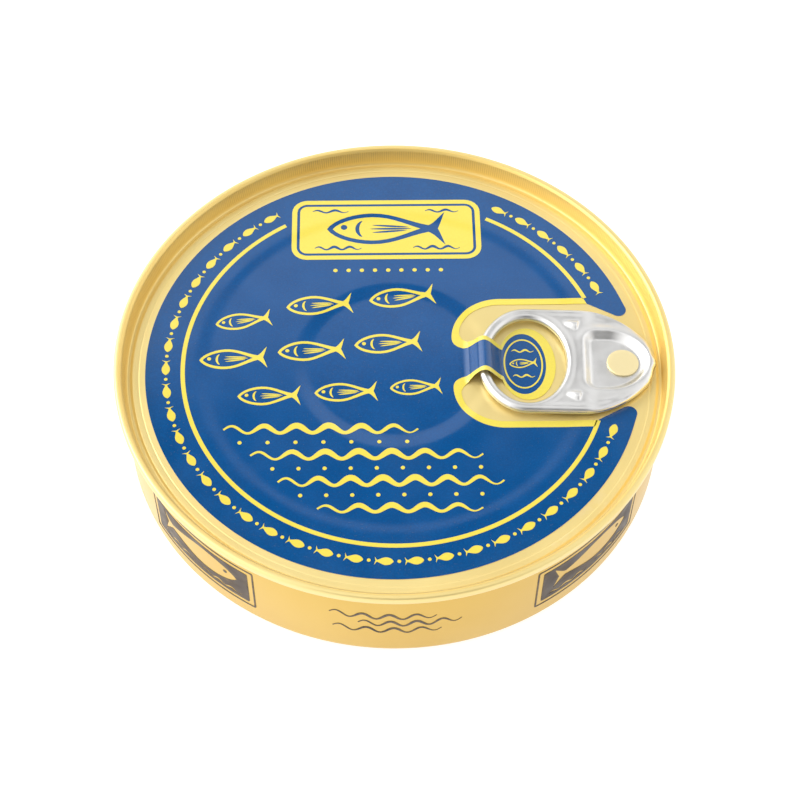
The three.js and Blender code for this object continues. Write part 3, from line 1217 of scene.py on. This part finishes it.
def waveLoop(x0, x1, y, rise, waves, width):
    # a rolling line that tapers at both ends
    upper, lower = [], []
    steps = int(waves * 18)
    for i in range(steps + 1):
        t = i / steps
        phase = 2 * math.pi * waves * t
        slope = math.atan(rise * 2 * math.pi * waves / (x1 - x0) * math.cos(phase))
        half = width / 2 * max(0.12, math.sin(math.pi * t)) ** 0.5 * (1 + 0.25 * math.sin(phase))
        cx, cy = x0 + (x1 - x0) * t, y + rise * math.sin(phase)
        upper.append((cx - half * math.sin(slope), cy + half * math.cos(slope)))
        lower.append((cx + half * math.sin(slope), cy - half * math.cos(slope)))
    return upper + lower[::-1]


fishShape = {
    "back": [((0.5, 0.0), (0.45, 0.25), (0.29, 0.44), (0.12, 0.45)),
             ((0.12, 0.45), (-0.06, 0.46), (-0.20, 0.20), (-0.36, 0.10)),
             ((-0.36, 0.10), (-0.41, 0.16), (-0.45, 0.34), (-0.5, 0.48)),
             ((-0.5, 0.48), (-0.47, 0.22), (-0.455, 0.1), (-0.44, 0.0))],
    "flank": [((0.45, 0.0), (0.41, 0.17), (0.27, 0.33), (0.12, 0.34)),
              ((0.12, 0.34), (-0.04, 0.35), (-0.16, 0.14), (-0.29, 0.0))],
    "eye": (0.355, 0.05, 0.075),
    "gill": (0.17, 0.0, 0.09, 0.26),
    "stripes": [(0.12, -0.20, 0.11), (0.14, -0.22, 0.0), (0.12, -0.18, -0.11)],
    "stripeHalf": 0.028,
}


def fishLoops(x, y, length, height, heading=1, tilt=0.0, plain=False):
    # a drawn sardine: outline, flank, eye, gill and stripes, each loop flipping the ink on or off
    f = fishShape

    def halfLoop(curves):
        points = []
        for curve in curves:
            points += bezierPoints(*curve, 7)[:-1]
        return points + [curves[-1][3]]

    loops = [mirrored(halfLoop(f["back"]))]
    if not plain:
        loops.append(mirrored(halfLoop(f["flank"])))
        x0, y0, reach, tall = f["gill"]
        loops.append(arcPoints(x0, y0, reach, tall, -62, 62, 12)
                     + arcPoints(x0, y0, 0.62 * reach, tall, 60, -60, 12))
        for head, tail, level in f["stripes"]:
            upper, lower = [], []
            for t in (i / 16 for i in range(17)):
                u, middle = head + (tail - head) * t, level * (1 - 0.6 * t)
                half = f["stripeHalf"] * math.sin(math.pi * t) ** 0.6
                upper.append((u, middle + half))
                lower.append((u, middle - half))
            loops.append(upper + lower[-2:0:-1])
        x0, y0, size = f["eye"]
        loops.append(arcPoints(x0, y0, size * height / length, size, 0, 360 * 13 / 14, 13))
    placed = []
    for loop in loops:
        spots = (turnBy(heading * u * length, v * height, tilt) for u, v in loop)
        placed.append([(x + a, y + b) for a, b in spots])
    return placed


def roundTheMiddle(loops, radius, angle):
    # loops drawn about the origin, carried out to a radius and turned to lie along the circle
    moved = []
    for loop in loops:
        polar = ((math.radians(angle) + x / radius, radius - y) for x, y in loop)
        moved.append([(reach * math.cos(turn), reach * math.sin(turn)) for turn, reach in polar])
    return moved


artwork = {
    "plate": (-19.5, 24.6, 17.2, 39.4, 3.0),
    "plateInset": (1.0, 1.55),
    "plateFish": (-1.2, 32.2, 23.0, 8.6),
    "plateWaves": [(-15.0, -6.0, 27.4, 0.35, 3, 0.55), (4.0, 13.0, 27.4, 0.35, 3, 0.55),
                   (-15.5, -8.5, 36.6, 0.3, 2, 0.5), (6.5, 13.0, 36.6, 0.3, 2, 0.5)],
    "beads": (-11.0, 9.2, 21.9, 9, 0.42),
    "shoal": [(1.6, 15.4, 12.5, 5.0, 7), (-14.0, 13.6, 12.5, 5.0, 5), (-28.2, 10.0, 10.5, 4.2, 9),
              (-29.8, 1.2, 12.5, 5.0, 3), (-15.4, 3.0, 12.5, 5.0, 4), (-1.2, 4.6, 12.5, 5.0, 4),
              (-23.0, -7.2, 11.5, 4.6, 1), (-9.0, -6.4, 11.5, 4.6, 2), (3.8, -5.4, 9.5, 3.9, 3)],
    "waves": [(-31.0, 4.0, -14.6, 0.8, 6, 1.05), (-26.0, 15.5, -20.2, 0.8, 7, 1.05),
              (-21.0, 19.0, -25.8, 0.8, 7, 1.05), (-14.0, 15.0, -31.4, 0.7, 5, 0.95)],
    "drops": [(-28.0, 2.0, -17.4, 7, 0.38), (-22.0, 15.0, -23.0, 9, 0.38), (-17.0, 15.0, -28.6, 8, 0.38)],
    "ringRows": [(124.0, 338.0), (24.0, 60.0)],
    "ringPitch": 7.2,
    "ringMiddle": 42.1,
    "ringFish": (3.3, 1.7),
    "circleLine": [(122.0, 340.0), (22.0, 62.0)],
    "discOval": (3.65, 5.6, 0.3),
    "discFish": (5.2, 2.3),
    "discWaves": (2.9, -2.8),
}


def plateLoops():
    a = artwork
    x0, y0, x1, y1, corner = a["plate"]
    loops = [boxLoop(x0, y0, x1, y1, corner)]
    for inset in a["plateInset"]:
        loops.append(boxLoop(x0 + inset, y0 + inset, x1 - inset, y1 - inset, corner - inset))
    loops += fishLoops(*a["plateFish"], heading=-1)
    return loops + [waveLoop(*wave) for wave in a["plateWaves"]]


def beadLoops(x0, x1, y, count, radius):
    return [circleLoop(x0 + (x1 - x0) * i / (count - 1), y, radius, 14) for i in range(count)]


def shoalLoops():
    loops = []
    for x, y, length, height, tilt in artwork["shoal"]:
        loops += fishLoops(x, y, length, height, heading=-1, tilt=tilt)
    return loops


def seaLoops():
    loops = [waveLoop(*wave) for wave in artwork["waves"]]
    for row in artwork["drops"]:
        loops += beadLoops(*row)
    return loops


def ringLoops():
    a = artwork
    loops = []
    for start, end in a["ringRows"]:
        count = round((end - start) / a["ringPitch"])
        for i in range(count + 1):
            angle = start + (end - start) * i / count
            loops += roundTheMiddle(fishLoops(0, 0, *a["ringFish"], plain=True), a["ringMiddle"], angle)
            if i < count:
                half = angle + (end - start) / count / 2
                loops += roundTheMiddle([circleLoop(0, 0, 0.33, 12)], a["ringMiddle"], half)
    for start, end in a["circleLine"]:
        steps = int((end - start) / 1.5)
        half = printShape["ringWidth"] / 2
        radius = printShape["ringRadius"]
        loops.append(arcPoints(0, 0, radius + half, radius + half, start, end, steps)
                     + arcPoints(0, 0, radius - half, radius - half, end, start, steps))
    return loops


def inkOver(name, loops):
    xs = [x for loop in loops for x, y in loop]
    ys = [y for loop in loops for x, y in loop]
    step = printShape["step"]
    inkPiece(name, loops, spaced(min(xs), max(xs), step)[1:-1], spaced(min(ys), max(ys), step)[1:-1])


def makeDisc():
    # thin oval line round the finger disc, with one small fish inside it
    x, y = printShape["blueDisc"][0], filmShape["discShift"]
    halfX, halfY, line = artwork["discOval"]
    loops = [arcPoints(x, y, halfX - inset, halfY - inset, 0, 354, 59) for inset in (0, line)]
    loops += fishLoops(x, y + 0.1, *artwork["discFish"], heading=-1, tilt=4)
    loops += [waveLoop(x - 2, x + 2, y + rise, 0.25, 2, 0.34) for rise in artwork["discWaves"]]
    inkOver("discPrint", loops)


makeBorder()
inkOver("platePrint", plateLoops())
inkOver("beadPrint", beadLoops(*artwork["beads"]))
inkOver("shoalPrint", shoalLoops())
inkOver("seaPrint", seaLoops())
inkOver("ringPrint", ringLoops())
makeDisc()
print("stage: label is printed")


# Print on the wall

wallPrint = {
    "lift": 0.05,
    "thickness": 0.05,
    "boxAngles": (-133, -45, 45, 135),
    "waveAngles": (-89, 1, 91, 181),
    "middle": 10.65,
    "boxHalf": (12.9, 6.05),
    "frameWidth": 0.35,
    "gap": 0.9,
    "fish": (0.0, 0.9, 18.5, 6.4),
    "eye": (6.7, 1.3, 0.42),
    "boxWaves": [(-10.0, -1.0, -3.6, 0.3, 3, 0.5), (1.0, 10.0, -3.6, 0.3, 3, 0.5)],
    "strokes": [(-11.5, 7.0, 2.6, 0.8, 4, 0.55), (-6.5, 11.5, 0.2, 0.8, 4, 0.55),
                (-11.0, 8.0, -2.2, 0.8, 4, 0.5)],
}


def boxPrintLoops():
    w = wallPrint
    halfX, halfY = w["boxHalf"]
    loops = []
    for inset in (0, w["frameWidth"], w["frameWidth"] + w["gap"]):
        loops.append(boxLoop(inset - halfX, inset - halfY, halfX - inset, halfY - inset, 0.4))
    loops += fishLoops(*w["fish"], heading=1, plain=True) + [circleLoop(*w["eye"], 12)]
    return loops + [waveLoop(*wave) for wave in w["boxWaves"]]


def wrapped(name, loops, angles):
    # flat ink is cut into strips, bent round the wall, and copied to its other places
    w = wallPrint
    master = flatShape(name, loops)
    xs = [vertex.co.x for vertex in master.data.vertices]
    gridCut(master, spaced(min(xs), max(xs), 1.0)[1:-1], [])
    for vertex in master.data.vertices:
        turn = vertex.co.x / wallRadius
        reach = wallRadius + w["lift"]
        vertex.co = (reach * math.cos(turn), reach * math.sin(turn), vertex.co.y + w["middle"])
    faceOutward(master, 0)
    applyModifier(master, "SOLIDIFY", thickness=w["thickness"], offset=-1)
    for i, angle in enumerate(angles):
        copy = putObject(f"{name}{i + 1}", master.data.copy())
        copy.rotation_euler.z = math.radians(angle)
        finishPiece(copy, darkInk)
    bpy.data.objects.remove(master)


wrapped("wallBox", boxPrintLoops(), wallPrint["boxAngles"])
wrapped("wallWave", [waveLoop(*wave) for wave in wallPrint["strokes"]], wallPrint["waveAngles"])
print("stage: wall is printed")
